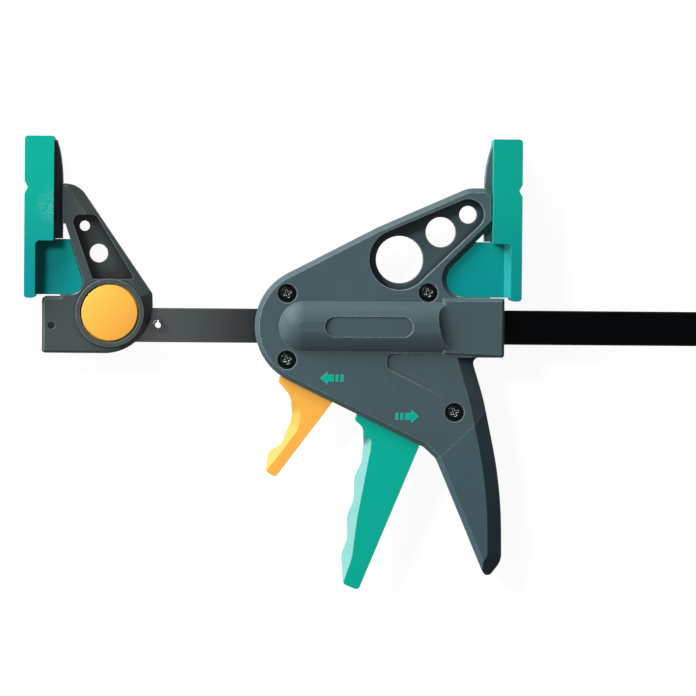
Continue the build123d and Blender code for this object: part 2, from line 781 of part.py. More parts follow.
def trigger_slot():
    """Way through the lower wall for the trigger over its travel."""
    half = TRIGGER_HALF + SLOT_GAP
    left = TRIGGER_BEAK[0] - TRIGGER_SLOT_LEFT
    right = TRIGGER_BACK[0] + TRIGGER_SLOT_RIGHT
    slot = outline(
        [
            (left, TRIGGER_BEAK[1] - 3 * TRIGGER_SLOT_LEFT, 0),
            (left, TRIGGER_BEAK[1] + TRIGGER_SLOT_TOP, 0),
            (TRIGGER_PIVOT_X - TRIGGER_EYE_RADIUS, TRIGGER_PIVOT_Y + TRIGGER_PIN_RADIUS + LAP, 0),
            (TRIGGER_PIVOT_X, TRIGGER_PIVOT_Y + LAP, 0),
            (right, TRIGGER_BACK[1] + TRIGGER_SLOT_RIGHT, 0),
            (right, TRIGGER_BACK[1] - 2 * TRIGGER_SLOT_RIGHT, 0),
        ]
    )
    return slab(slot, -half, half)


def shell_openings():
    """Everything that passes through both shells."""
    cut = tongue_space(TONGUE_GAP) + bar_hole(-FAR, FAR, BAR_GAP)
    for x, y, radius in HOLES:
        cut += drill(x, y, radius)
    return cut


def spring_room():
    """Clear way for the brake spring, from its seat to the brake plate."""
    length = BRAKE_X - BRAKE_SEAT_X
    room = Cylinder(BRAKE_SPRING_RADIUS + BRAKE_SPRING_WIRE, length)
    return Pos(BRAKE_SEAT_X + length / 2, BRAKE_SPRING_Y, 0) * Rot(0, 90, 0) * room


def tang():
    """The near half's core inside the soft sleeve."""
    lean = SLEEVE + SLEEVE_GAP / 2
    core = slab(offset(housing_outline(), -lean).face(), 0, HOUSING_HALF - lean)
    core -= Pos(-lean, 0, -lean) * rear_bevel()
    return core & slab(seam_region(SLEEVE_GAP), -LAP, CREST)


def shell(near):
    """One moulded half of the housing. The far one is drawn as near and mirrored."""
    half = near_blank() - slab(seam_region(0), -LAP, CREST) + tang()
    half -= shell_openings()
    half -= cavity()
    half -= lever_slot()
    half -= trigger_slot()
    half -= spring_room()
    head = to_sliding(jaw_head(SLIDING_HEAD_TOP_DEPTH, SLIDING_HEAD_REAR_DEPTH))
    half += head & block((-FAR, FAR), (-FAR, FAR), (0, CREST))
    for x, y, radius in HOLES:
        half -= drill(x, y, radius)
    for x, y, radius in (
        (LEVER_PIVOT_X, LEVER_PIVOT_Y, LEVER_PIN_RADIUS),
        (TRIGGER_PIVOT_X, TRIGGER_PIVOT_Y, TRIGGER_PIN_RADIUS),
    ):
        half -= post(x, y, radius + PIN_FIT, -LAP, PIN_HALF)
    for x, y in SCREWS:
        if near:
            half -= post(x, y, SCREW_SINK_RADIUS, SINK_LEVEL, CREST)
            half -= post(x, y, SCREW_RADIUS + SCREW_NEAR_GAP, -LAP, CREST)
        else:
            half -= post(x, y, SCREW_RADIUS + SCREW_GAP, -LAP, SCREW_LENGTH - SINK_LEVEL + SCREW_END_GAP)
    if near:
        middle = (LABEL_LEFT + LABEL_RIGHT) / 2
        label = Pos(middle, 0) * SlotOverall(LABEL_RIGHT - LABEL_LEFT, 2 * LABEL_HALF).face()
        return keep_solid(half - slab(label, CREST - LABEL_DEPTH, CREST + LAP))
    return mirror(keep_solid(half), Plane.XY)


def sleeve():
    """Soft sleeve round the lower handle, one piece over both shells."""
    half = near_blank() & slab(seam_region(SLEEVE_GAP), -LAP, CREST)
    core = slab(offset(housing_outline(), -SLEEVE).face(), -LAP, HOUSING_HALF - SLEEVE)
    half -= core - Pos(-SLEEVE, 0, -SLEEVE) * rear_bevel()
    return both_sides(keep_solid(half - lever_slot()))


def housing_screws():
    """Cross-recess screws, all alike."""
    head = Pos(0, 0, SCREW_HEAD_HEIGHT / 2) * Cylinder(SCREW_HEAD_RADIUS, SCREW_HEAD_HEIGHT)
    head = fillet(head.edges().sort_by(Axis.Z)[-1], SCREW_HEAD_ROUND)
    blade = Box(CROSS_LENGTH, CROSS_WIDTH, 2 * CROSS_DEPTH)
    cross = Pos(0, 0, SCREW_HEAD_HEIGHT) * (blade + Rot(0, 0, 90) * blade)
    screw = head - cross + post(0, 0, SCREW_RADIUS, -SCREW_LENGTH, PIN_FIT)
    return [Pos(x, y, SINK_LEVEL) * Rot(0, 0, SCREW_TURN) * screw for x, y in SCREWS]


# Levers and pins
def arm(eye, nose, half):
    """Arm that wraps a round eye and a round nose, each given as x, y and radius."""
    edges = disc(*eye).edges() + disc(*nose).edges()
    return slab(make_hull(edges).face(), -half, half)


def finger_bevel(line, half, width, depth):
    """What the bevel along a finger grip takes off the near side, left of a line from top to toe."""
    keep = outline(line + [(line[-1][0], -FAR, 0), (FAR, -FAR, 0), (FAR, FAR, 0), (line[0][0], FAR, 0)])
    return broad_bevel(keep, half, width, depth)


def lever():
    """Pump lever with its eye, the nose that pushes the plates and a wavy finger grip."""
    eye_right = (LEVER_PIVOT_X + LEVER_EYE_RADIUS, LEVER_PIVOT_Y, 0)
    eye_left = (LEVER_PIVOT_X - LEVER_EYE_RADIUS, LEVER_PIVOT_Y, 0)
    front = [LEVER_BEAK, LEVER_BEAK_TIP, LEVER_THROAT] + LEVER_GRIP
    side = outline(front + [LEVER_TOE_FRONT, LEVER_TOE, LEVER_BACK, eye_right, eye_left])
    half = slab(side, 0, LEVER_HALF)
    half -= finger_bevel(LEVER_BEVEL_LINE, LEVER_HALF, LEVER_BEVEL, LEVER_BEVEL_DEPTH)
    shoulder = LEVER_PIVOT_Y - LEVER_HEAD_LOW
    half -= block((-FAR, FAR), (shoulder, FAR), (LEVER_HEAD_HALF, LEVER_HALF + LAP))
    nose = (LEVER_PIVOT_X - LEVER_NOSE_LEFT, LEVER_PIVOT_Y + LEVER_NOSE_UP, LEVER_NOSE_RADIUS)
    eye = (LEVER_PIVOT_X, LEVER_PIVOT_Y, LEVER_EYE_RADIUS)
    body = both_sides(half) + arm(eye, nose, LEVER_HEAD_HALF)
    return keep_solid(body - drill(LEVER_PIVOT_X, LEVER_PIVOT_Y, LEVER_PIN_RADIUS + RUNNING_FIT))


def trigger():
    """Release trigger with its eye and the nose that pushes the brake plate."""
    eye_right = (TRIGGER_PIVOT_X + TRIGGER_EYE_RADIUS, TRIGGER_PIVOT_Y, 0)
    eye_left = (TRIGGER_PIVOT_X - TRIGGER_EYE_RADIUS, TRIGGER_PIVOT_Y + TRIGGER_PIN_RADIUS, 0)
    front = [TRIGGER_BEAK, TRIGGER_BEAK_TIP] + TRIGGER_GRIP
    side = outline(front + [TRIGGER_TOE_FRONT, TRIGGER_TOE, TRIGGER_BACK, eye_right, eye_left])
    half = slab(side, 0, TRIGGER_HALF)
    half -= finger_bevel(TRIGGER_BEVEL_LINE, TRIGGER_HALF, TRIGGER_BEVEL, TRIGGER_BEVEL_DEPTH)
    shoulder = TRIGGER_PIVOT_Y - TRIGGER_EYE_RADIUS
    head = (TRIGGER_PIVOT_X - TRIGGER_HEAD_LEFT, FAR)
    half -= block(head, (shoulder, FAR), (TRIGGER_HEAD_HALF, TRIGGER_HALF + LAP))
    nose = (trigger_nose_x(), TRIGGER_PIVOT_Y + TRIGGER_NOSE_UP, TRIGGER_NOSE_RADIUS)
    eye = (TRIGGER_PIVOT_X, TRIGGER_PIVOT_Y, TRIGGER_EYE_RADIUS)
    body = both_sides(half) + arm(eye, nose, TRIGGER_HEAD_HALF)
    return keep_solid(body - drill(TRIGGER_PIVOT_X, TRIGGER_PIVOT_Y, TRIGGER_PIN_RADIUS + RUNNING_FIT))


def trigger_nose_x():
    """Middle of the trigger's nose, just clear of the tilted brake plate."""
    down = BRAKE_UP - TRIGGER_PIVOT_Y - TRIGGER_NOSE_UP
    lean = math.radians(BRAKE_TILT)
    plate_face = BRAKE_X + down * math.tan(lean) + BRAKE_THICKNESS / 2 / math.cos(lean)
    return plate_face + PLATE_GAP + TRIGGER_NOSE_RADIUS


def pivot_pin(x, y, radius):
    """Plain steel pin held in a boss of each shell."""
    pin = Cylinder(radius, 2 * (PIN_HALF - PIN_END_GAP))
    return Pos(x, y, 0) * chamfer(pin.edges().filter_by(GeomType.CIRCLE), PIN_BREAK)


# Drive and brake
def plate(thickness, up, down, slot_gap):
    """Flat steel plate with a slot for the bar, its thickness along X."""
    span = (-thickness / 2, thickness / 2)
    body = block(span, (-down, up), (-PLATE_HALF_WIDTH, PLATE_HALF_WIDTH))
    body = fillet(body.edges().filter_by(Axis.X), PLATE_ROUND)
    return body - bar_hole(-thickness, thickness, slot_gap)


def drive_plate(index):
    """One of the drive plates, counted from the left."""
    left = plates_right() - PLATE_COUNT * PLATE_THICKNESS
    body = plate(PLATE_THICKNESS, PLATE_UP, PLATE_DOWN, BAR_GAP)
    return Pos(left + (index + 0.5) * PLATE_THICKNESS, 0, 0) * body


def drive_spring():
    """Coil round the bar between the seat rib and the drive plates."""
    length = plates_right() - PLATE_COUNT * PLATE_THICKNESS - SEAT_X
    body = coil(SPRING_INNER + SPRING_WIRE / 2, SPRING_WIRE, length, DRIVE_SPRING_HALF_TURNS)
    return Pos(SEAT_X, 0, 0) * Rot(0, 90, 0) * body


def brake_plate():
    """Brake plate, tilted about its upper end as the spring holds it."""
    body = plate(BRAKE_THICKNESS, BRAKE_TOP, BRAKE_DOWN, BRAKE_SLOT_GAP)
    return Pos(BRAKE_X, BRAKE_UP, 0) * Rot(0, 0, BRAKE_TILT) * Pos(0, -BRAKE_UP, 0) * body


def brake_spring():
    """Small coil between its seat and the lower end of the brake plate."""
    lean = math.radians(BRAKE_TILT)
    reach = (BRAKE_UP - BRAKE_SPRING_Y) * math.tan(lean)
    length = BRAKE_X - BRAKE_THICKNESS / 2 / math.cos(lean) + reach - BRAKE_SEAT_X
    body = coil(BRAKE_SPRING_RADIUS, BRAKE_SPRING_WIRE, length, BRAKE_SPRING_HALF_TURNS)
    return Pos(BRAKE_SEAT_X, BRAKE_SPRING_Y, 0) * Rot(0, 90, 0) * body


# Bar and its pins
def stop_pin_x(end):
    """Place of a stop pin along X, beside the fixed jaw or near the bar's free end."""
    if end == "jaw":
        return FIXED_FACE + JAW_BUTT[0] + STOP_PIN_CLEAR
    return BAR_RIGHT - STOP_PIN_INSET


def lock_notch_x(end):
    """Place of a lock notch along X, the same way in from each end."""
    inset = FIXED_FACE + BUTTON_X - BAR_LEFT
    if end == "jaw":
        return BAR_LEFT + inset
    return BAR_RIGHT - inset


def bar():
    """Flat steel bar with a stop pin hole and a lock notch at each end."""
    half_height = BAR_HEIGHT / 2
    half_thickness = BAR_THICKNESS / 2
    body = block(
        (BAR_LEFT, BAR_RIGHT), (-half_height, half_height), (-half_thickness, half_thickness)
    )
    body = chamfer(body.edges().filter_by(Axis.X), BAR_BREAK)
    for end in ("jaw", "free"):
        body -= drill(stop_pin_x(end), 0, STOP_PIN_RADIUS + PIN_FIT)
        body -= drill(lock_notch_x(end), LOCK_PIN_UP, LOCK_PIN_RADIUS + LOCK_GAP)
    return body


def stop_pin(end):
    """Hollow spring pin, a rolled tube with a slot down its side."""
    tube = Cylinder(STOP_PIN_RADIUS, STOP_PIN_LENGTH) - Cylinder(STOP_PIN_BORE, STOP_PIN_LENGTH)
    slot = (-STOP_PIN_SLOT / 2, STOP_PIN_SLOT / 2)
    tube -= block(slot, (0, 2 * STOP_PIN_RADIUS), (-STOP_PIN_LENGTH, STOP_PIN_LENGTH))
    return Pos(stop_pin_x(end), 0, 0) * tube


# Fixed jaw, drawn with X as the depth behind its working face
def jaw_outline():
    """Outline of the fixed jaw, before the tongue's space is cut."""
    return outline(
        [
            JAW_BASE_TOP,
            JAW_BASE_FRONT,
            JAW_HEEL,
            JAW_BUTT,
            JAW_SHOULDER,
            JAW_ARM_LEFT,
            (JAW_ARM_LEFT[0], JAW_BASE_TOP[1], 0),
        ]
    )


def jaw_bevel():
    """What the broad bevel behind the fixed jaw takes off the near side."""
    slope = (JAW_SHOULDER[1] - JAW_BUTT[1]) / (JAW_BUTT[0] - JAW_SHOULDER[0])
    up_x = JAW_BEVEL_RISE[0] - FAR / slope
    keep = outline(
        [
            (-FAR, -FAR, 0),
            (JAW_BEVEL_HEEL[0] - JAW_BEVEL_FOOT, -FAR, 0),
            JAW_BEVEL_HEEL,
            JAW_BEVEL_BUTT,
            JAW_BEVEL_RISE,
            (up_x, JAW_BEVEL_RISE[1] + FAR, 0),
            (-FAR, JAW_BEVEL_RISE[1] + FAR, 0),
        ]
    )
    cut = broad_bevel(keep, JAW_HALF, JAW_BEVEL, JAW_BEVEL_DEPTH)
    return cut & block((0, FAR), (-FAR / 2, FAR / 2), (0, CREST))


def fixed_jaw():
    """Moulded body of the fixed jaw, open for the bar and the button."""
    body = both_sides(bevelled(jaw_outline(), 0, JAW_HALF, JAW_RIM) - jaw_bevel())
    ring = BUTTON_RADIUS + BUTTON_GAP + BUTTON_RING
    body += post(BUTTON_X, BUTTON_Y, ring, WELL_FLOOR, BUTTON_RING_TOP)
    floor = JAW_HALF - JAW_POCKET_DEPTH
    pocket = slab(outline(JAW_POCKET), floor, CREST) - post(BUTTON_X, BUTTON_Y, ring, 0, CREST)
    body -= pocket + mirror(pocket, Plane.XY)
    for x, y, radius in JAW_HOLES + [JAW_EYE]:
        body -= drill(x, y, radius)
    space = tongue_face(
        FIXED_TONGUE_SLOPE,
        FIXED_TONGUE_ROUND,
        TONGUE_GAP,
        TONGUE_TOP + FIXED_TONGUE_GAP_TOP,
        -PAD_DEPTH,
    )
    body -= slab(space, -CREST, CREST)
    body += jaw_head(FIXED_HEAD_TOP_DEPTH, FIXED_HEAD_REAR_DEPTH)
    body -= Pos(-FIXED_FACE, 0, 0) * bar_hole(BAR_LEFT, 0, BAR_JAW_GAP)
    body -= post(BUTTON_X, BUTTON_Y, BUTTON_RADIUS + BUTTON_GAP, WELL_FLOOR, CREST)
    pin_low = -BAR_THICKNESS / 2 - BUTTON_TRAVEL - LOCK_END_GAP
    body -= post(BUTTON_X, LOCK_PIN_UP, LOCK_PIN_RADIUS + LOCK_GAP, pin_low, CREST)
    return keep_solid(body)


def release_button():
    """Round cap of the release button, crowned, with a short skirt."""
    crown = Circle(BUTTON_RADIUS).face()
    cap = slab(crown, BUTTON_SKIRT_BOTTOM, BUTTON_TOP)
    reach = BUTTON_RADIUS - BUTTON_EDGE
    dome_radius = (reach**2 + BUTTON_CROWN**2) / (2 * BUTTON_CROWN)
    dome = Pos(0, 0, BUTTON_TOP - dome_radius) * Sphere(dome_radius)
    edge_low = BUTTON_TOP - BUTTON_CROWN - BUTTON_EDGE
    edge = slab(crown, 0, edge_low) + slab(crown, edge_low, edge_low + 2 * BUTTON_EDGE, taper=45)
    cap = (cap & dome) & edge
    inner = BUTTON_RADIUS - BUTTON_SKIRT
    cap -= Pos(0, 0, BUTTON_SEAT - CREST / 2) * Cylinder(inner, CREST)
    return Pos(BUTTON_X, BUTTON_Y, 0) * cap


def lock_pin():
    """Steel pin under the button: a collar that locks the bar, below a thin neck."""
    low = -BAR_THICKNESS / 2 + LOCK_GAP
    pin = post(BUTTON_X, LOCK_PIN_UP, LOCK_PIN_RADIUS, low, LOCK_COLLAR_TOP)
    return pin + post(BUTTON_X, LOCK_PIN_UP, LOCK_NECK_RADIUS, low, BUTTON_SEAT)


def button_spring():
    """Coil between the well's floor and the button."""
    length = BUTTON_SEAT - WELL_FLOOR
    body = coil(BUTTON_SPRING_RADIUS, BUTTON_SPRING_WIRE, length, BUTTON_SPRING_HALF_TURNS)
    return Pos(BUTTON_X, BUTTON_Y, WELL_FLOOR) * body


def write(name, part):
    """Writes one node, moved so that the origin is on the sliding pad's face."""
    solids = part if isinstance(part, list) else [part]
    placed = [Pos(0, -PAD_MIDDLE, 0) * solid for solid in solids]
    shape = placed[0] if len(placed) == 1 else Compound(children=placed)
    export_step(shape, f"parts/{name}.step")


write("housing_near_shell", shell(True))
write("housing_far_shell", shell(False))
write("handle_sleeve", sleeve())
write("housing_screws", housing_screws())
write("pump_lever", lever())
write("lever_pivot_pin", pivot_pin(LEVER_PIVOT_X, LEVER_PIVOT_Y, LEVER_PIN_RADIUS))
write("release_trigger", trigger())
write("trigger_pivot_pin", pivot_pin(TRIGGER_PIVOT_X, TRIGGER_PIVOT_Y, TRIGGER_PIN_RADIUS))
for number in range(PLATE_COUNT):
    write(f"drive_plate_{number + 1}", drive_plate(number))
write("drive_spring", drive_spring())
write("brake_plate", brake_plate())
write("brake_spring", brake_spring())
write("bar", bar())
write("stop_pin_jaw_end", stop_pin("jaw"))
write("stop_pin_free_end", stop_pin("free"))
write("sliding_pad", to_sliding(pad(SLIDING_TONGUE_SLOPE, SLIDING_TONGUE_ROUND)))
write("fixed_jaw_body", to_fixed(fixed_jaw()))
write("fixed_pad", to_fixed(pad(FIXED_TONGUE_SLOPE, FIXED_TONGUE_ROUND)))
write("release_button", to_fixed(release_button()))
write("lock_pin", to_fixed(lock_pin()))
write("button_spring", to_fixed(button_spring()))
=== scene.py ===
"""Looks of the one-handed bar clamp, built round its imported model.

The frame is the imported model: X along the bar, Y up the picture, Z towards the camera, in metres.
The clamp lies on a pale studio floor at z = -18 mm and the camera looks almost straight down at it.
Sizes of pieces and finishes are in millimetres.
"""

import logging
import math
from dataclasses import dataclass
from enum import Enum
from typing import Optional

import bmesh
import bpy
from mathutils import Matrix, Vector


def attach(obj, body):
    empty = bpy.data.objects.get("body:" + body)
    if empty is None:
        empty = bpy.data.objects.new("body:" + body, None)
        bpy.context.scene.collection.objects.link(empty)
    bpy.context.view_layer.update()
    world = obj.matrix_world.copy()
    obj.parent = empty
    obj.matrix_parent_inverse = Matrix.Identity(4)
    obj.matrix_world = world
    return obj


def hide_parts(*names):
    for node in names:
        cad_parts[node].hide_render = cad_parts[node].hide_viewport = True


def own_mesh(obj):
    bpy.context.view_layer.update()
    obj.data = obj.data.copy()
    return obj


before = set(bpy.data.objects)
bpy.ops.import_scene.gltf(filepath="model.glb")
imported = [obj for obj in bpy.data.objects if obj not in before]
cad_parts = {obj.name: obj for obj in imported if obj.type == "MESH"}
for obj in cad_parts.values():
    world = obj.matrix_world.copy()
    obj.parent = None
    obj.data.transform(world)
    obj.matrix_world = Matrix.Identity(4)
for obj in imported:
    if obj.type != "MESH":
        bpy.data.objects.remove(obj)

Colour = tuple[float, float, float, float]
Point = tuple[float, float]
Tree = bpy.types.NodeTree
Socket = bpy.types.NodeSocket

LOG = logging.getLogger("clamp")
MM = 0.001
WHITE = "#ffffff"
SHARP_DEG = 25  # edges that turn more than this stay sharp

# What all finishes share
# Colour of the painted shade in corners and hollows
PAINTED_SHADE = "#0b1112"
CLOUD_DETAIL = 3.0
FINE_DETAIL = 2.0
RAY_SAMPLES = 8
MULTIPLY = {"operation": "MULTIPLY"}
EDGE_PAINT_REACH = 2  # the edge colour, partly worn and partly painted highlight, reaches this many edge radii
EDGE_PAINT_FROM, EDGE_PAINT_TO = 0.997, 0.88  # cosine of the normal's turn where the edge colour starts and is full
EDGE_PAINT_LEAST = 0.5  # share of the edge colour that is left between its patches
PATCH_LEAST = 0.8  # the same for the painted sheen and shade on slopes and the painted shade in hollows
SLOPE_LEAN, SLOPE_SPREAD = 0.8, 0.12  # part of a sloping face's normal along Z, and its spread
SHADE_FROM, SHADE_TO = 0.95, 0.55  # openness where the painted shade in hollows starts and is full
SCUFF_CORE = 1 / 3  # share of a scuff's radius that is fully scuffed


class Slot(Enum):
    """Material slots of the record."""

    HOUSING = "housing_plastic"
    SLEEVE = "sleeve_rubber"
    JAW = "jaw_plastic"
    LEVER = "lever_plastic"
    SIGNAL = "signal_plastic"
    PAD = "pad_rubber"
    BAR = "bar_steel"
    SCREW = "screw_steel"
    PIN = "pin_steel"
    PLATE = "plate_steel"
    SPRING = "spring_steel"


class Body(Enum):
    """Moving bodies that pieces ride on."""

    HOUSING = "housing"
    LEVER = "pump_lever"
    TRIGGER = "release_trigger"
    BAR = "bar_and_fixed_jaw"


class Axis(Enum):
    """Axes that a colour can fade along and that a spring lies along."""

    ALONG = "X"
    UP = "Y"
    OUT = "Z"

    def way(self) -> Vector:
        """Unit vector along the axis."""
        return Vector([float(name == self.value) for name in "XYZ"])


class Heading(Enum):
    """Ways that a direction mark can point along X."""

    LEFT = -1
    RIGHT = 1


def linear(code: str) -> Colour:
    """Turns an sRGB hex colour into linear light.

    Args:
        code: colour as #rrggbb.

    Returns:
        Linear red, green, blue and an alpha of 1.
    """
    parts = []
    for i in (1, 3, 5):
        value = int(code[i : i + 2], 16) / 255
        parts.append(value / 12.92 if value <= 0.04045 else ((value + 0.055) / 1.055) ** 2.4)
    return (parts[0], parts[1], parts[2], 1.0)


def add_node(
    tree: Tree, kind: str, settings: Optional[dict] = None, **inputs: object
) -> bpy.types.Node:
    """Adds a node with its settings, values and links.

    Args:
        tree: node tree to add to.
        kind: type name of the node.
        settings: attributes of the node.
        inputs: socket name, or i and its number, to a value or to another node's socket.

    Returns:
        The new node.
    """
    node = tree.nodes.new(kind)
    for key, value in (settings or {}).items():
        setattr(node, key, value)
    for key, value in inputs.items():
        numbered = key[0] == "i" and key[1:].isdigit()
        socket = node.inputs[int(key[1:]) if numbered else key.replace("_", " ")]
        if isinstance(value, Socket):
            tree.links.new(value, socket)
        else:
            socket.default_value = value
    return node


@dataclass(frozen=True)
class Patches:
    """Soft noise cut into patches, which breaks up worn and highlit edges, painted sheen and shade
    on slopes, painted shade in hollows, and specks.

    Attributes:
        size_mm: size of the patches.
        low: noise where a patch starts.
        high: noise where it is full.
        detail: layers of finer noise in it.
    """

    size_mm: float
    low: float
    high: float
    detail: float = FINE_DETAIL

    def mask(self, tree: Tree, place: Socket, most: float, least: float = 0.0) -> Socket:
        """Mask of the patches.

        Args:
            tree: node tree to add to.
            place: coordinates on the piece.
            most: value inside the patches.
            least: value outside them.

        Returns:
            Socket with the mask.
        """
        scale = 1 / (self.size_mm * MM)
        noise = add_node(
            tree, "ShaderNodeTexNoise", None, Vector=place, Scale=scale, Detail=self.detail
        )
        return add_node(
            tree,
            "ShaderNodeMapRange",
            None,
            Value=noise.outputs[0],
            From_Min=self.low,
            From_Max=self.high,
            To_Min=least,
            To_Max=most,
        ).outputs[0]


EDGE_BREAKS = Patches(size_mm=3.0, low=0.4, high=0.6, detail=CLOUD_DETAIL)
# Patches that break up the painted sheen and shade on slopes
SLOPE_PATCHES = Patches(size_mm=12.0, low=0.35, high=0.65)
# Patches that break up the painted shade in hollows
SHADE_PATCHES = Patches(size_mm=6.0, low=0.3, high=0.7, detail=CLOUD_DETAIL)
SPECK_DOTS = Patches(size_mm=0.55, low=0.58, high=0.68)
SPECK_ZONES = Patches(size_mm=14.0, low=0.52, high=0.66)


@dataclass(frozen=True)
class Finish:
    """One surface: colour, shine, grain, scuffs, edges worn and highlit, and painted sheen and
    shade.

    Attributes:
        name: name of the material, after what it is and how it was made.
        slot: slot of the record that it fills.
        base: main colour.
        deep: colour of the darker clouds in it.
        cloud_mm: size of the clouds.
        roughness: middle roughness.
        rough_spread: how far the roughness swings.
        metallic: 1 for bare metal.
        specular: level of the reflection.
        grain_mm: width of the moulded, ground or drawn grain. The real grain is 0.05 to 0.1 mm
            wide, less than a pixel, so it is drawn coarser to show.
        grain_depth_mm: depth of the grain.
        grain_run: how much longer the grain is along X than across it.
        edge: colour of the worn and highlit edges, of the painted slopes and of the specks.
        edge_mm: radius of the rounded edge that catches the light.
        wear_and_highlight: how much of the edge colour shows on edges, partly worn and partly a
            painted highlight.
        specks: how much of the edge colour shows in small specks.
        scuff: place and reach of a scuffed patch, as x, y, z and radius.
        slope_paint: how much of the edge colour is painted on sloping faces, a painted sheen where
            it is paler and painted shade where it is darker.
        hollow_shade: how dark the painted shade in corners and hollows is.
        hollow_shade_mm: reach of the painted shade out of a corner.
        fade: colour that the surface turns to along an axis, where it does.
        fade_axis: the axis.
        fade_mm: places along it where that starts and ends.
    """

    name: str
    slot: Slot
    base: str
    deep: str
    cloud_mm: float = 30.0
    roughness: float = 0.5
    rough_spread: float = 0.06
    metallic: float = 0.0
    specular: float = 0.5
    grain_mm: float = 0.6
    grain_depth_mm: float = 0.01
    grain_run: float = 1.0
    edge: str = WHITE
    edge_mm: float = 0.35
    wear_and_highlight: float = 0.0
    specks: float = 0.0
    scuff: Optional[tuple[float, float, float, float]] = None
    slope_paint: float = 0.0
    hollow_shade: float = 0.0
    hollow_shade_mm: float = 3.0
    fade: str = ""
    fade_axis: Axis = Axis.ALONG
    fade_mm: Point = (0.0, 1.0)

    def build(self) -> bpy.types.Material:
        """Makes the material.

        Returns:
            The material, with its nodes linked.
        """
        material = bpy.data.materials.new(self.name)
        material.use_nodes = True
        tree = material.node_tree
        tree.nodes.clear()
        place = add_node(tree, "ShaderNodeTexCoord").outputs["Object"]
        scale = 1 / (self.cloud_mm * MM)
        cloud = add_node(
            tree, "ShaderNodeTexNoise", None, Vector=place, Scale=scale, Detail=CLOUD_DETAIL
        ).outputs[0]
        low, high = self.roughness - self.rough_spread, self.roughness + self.rough_spread
        rough = add_node(tree, "ShaderNodeMapRange", None, Value=cloud, To_Min=low, To_Max=high)
        shader = add_node(
            tree,
            "ShaderNodeBsdfPrincipled",
            None,
            Base_Color=self.colour(tree, place, cloud),
            Metallic=self.metallic,
            Roughness=rough.outputs[0],
            Specular_IOR_Level=self.specular,
            Normal=self.relief(tree, place),
        )
        add_node(tree, "ShaderNodeOutputMaterial", None, Surface=shader.outputs[0])
        return material

    def colour(self, tree: Tree, place: Socket, cloud: Socket) -> Socket:
        """Clouded colour, laid over with the fade, worn and highlit edges, painted slopes, specks
        and painted shade in hollows.

        Args:
            tree: node tree to add to.
            place: coordinates on the piece.
            cloud: soft noise of the finish.

        Returns:
            Socket with the colour.
        """
        layers = [(cloud, self.deep)]
        for used, mask, tint in (
            (bool(self.fade), self.faded, self.fade),
            (self.wear_and_highlight > 0, self.worn_and_highlit_edges, self.edge),
            (self.slope_paint > 0, self.slopes, self.edge),
            (self.specks > 0, self.speckle, self.edge),
            (self.hollow_shade > 0, self.corners, PAINTED_SHADE),
        ):
            if used:
                layers.append((mask(tree, place), tint))
        found = linear(self.base)
        for share, tint in layers:
            found = add_node(
                tree,
                "ShaderNodeMix",
                {"data_type": "RGBA"},
                Factor=share,
                i6=found,
                i7=linear(tint),
            ).outputs[2]
        return found

    def relief(self, tree: Tree, place: Socket) -> Socket:
        """Rounded edges and the fine grain of the surface.

        Args:
            tree: node tree to add to.
            place: coordinates on the piece.

        Returns:
            Socket with the normal.
        """
        stretch = (1 / self.grain_run, 1, 1)
        run = add_node(tree, "ShaderNodeMapping", None, Vector=place, Scale=stretch)
        grain = add_node(
            tree,
            "ShaderNodeTexNoise",
            None,
            Vector=run.outputs[0],
            Scale=1 / (self.grain_mm * MM),
            Detail=FINE_DETAIL,
        )
        rounded = add_node(
            tree, "ShaderNodeBevel", {"samples": RAY_SAMPLES}, Radius=self.edge_mm * MM
        )
        return add_node(
            tree,
            "ShaderNodeBump",
            None,
            Strength=1.0,
            Distance=self.grain_depth_mm * MM,
            Height=grain.outputs[0],
            Normal=rounded.outputs[0],
        ).outputs[0]

    def faded(self, tree: Tree, place: Socket) -> Socket:
        """Mask that rises along the axis of the fade.

        Args:
            tree: node tree to add to.
            place: coordinates on the piece.

        Returns:
            Socket with the mask.
        """
        split = add_node(tree, "ShaderNodeSeparateXYZ", None, Vector=place).outputs
        return add_node(
            tree,
            "ShaderNodeMapRange",
            {"interpolation_type": "SMOOTHSTEP"},
            Value=split[self.fade_axis.value],
            From_Min=self.fade_mm[0] * MM,
            From_Max=self.fade_mm[1] * MM,
        ).outputs[0]

    def worn_and_highlit_edges(self, tree: Tree, place: Socket) -> Socket:
        """Mask of edges, partly worn and, where the edge colour is pale, partly a painted
        highlight, found where a widely rounded normal turns off the face.

        Args:
            tree: node tree to add to.
            place: coordinates on the piece.

        Returns:
            Socket with the mask.
        """
        wide = add_node(
            tree, "ShaderNodeBevel", {"samples": RAY_SAMPLES}, Radius=EDGE_PAINT_REACH * self.edge_mm * MM
        )
        flat = add_node(tree, "ShaderNodeNewGeometry").outputs["Normal"]
        turn = add_node(
            tree, "ShaderNodeVectorMath", {"operation": "DOT_PRODUCT"}, i0=wide.outputs[0], i1=flat
        )
        bend = add_node(
            tree,
            "ShaderNodeMapRange",
            None,
            Value=turn.outputs["Value"],
            From_Min=EDGE_PAINT_FROM,
            From_Max=EDGE_PAINT_TO,
        )
        part = EDGE_BREAKS.mask(tree, place, most=self.wear_and_highlight, least=self.wear_and_highlight * EDGE_PAINT_LEAST)
        return add_node(tree, "ShaderNodeMath", MULTIPLY, i0=bend.outputs[0], i1=part).outputs[0]

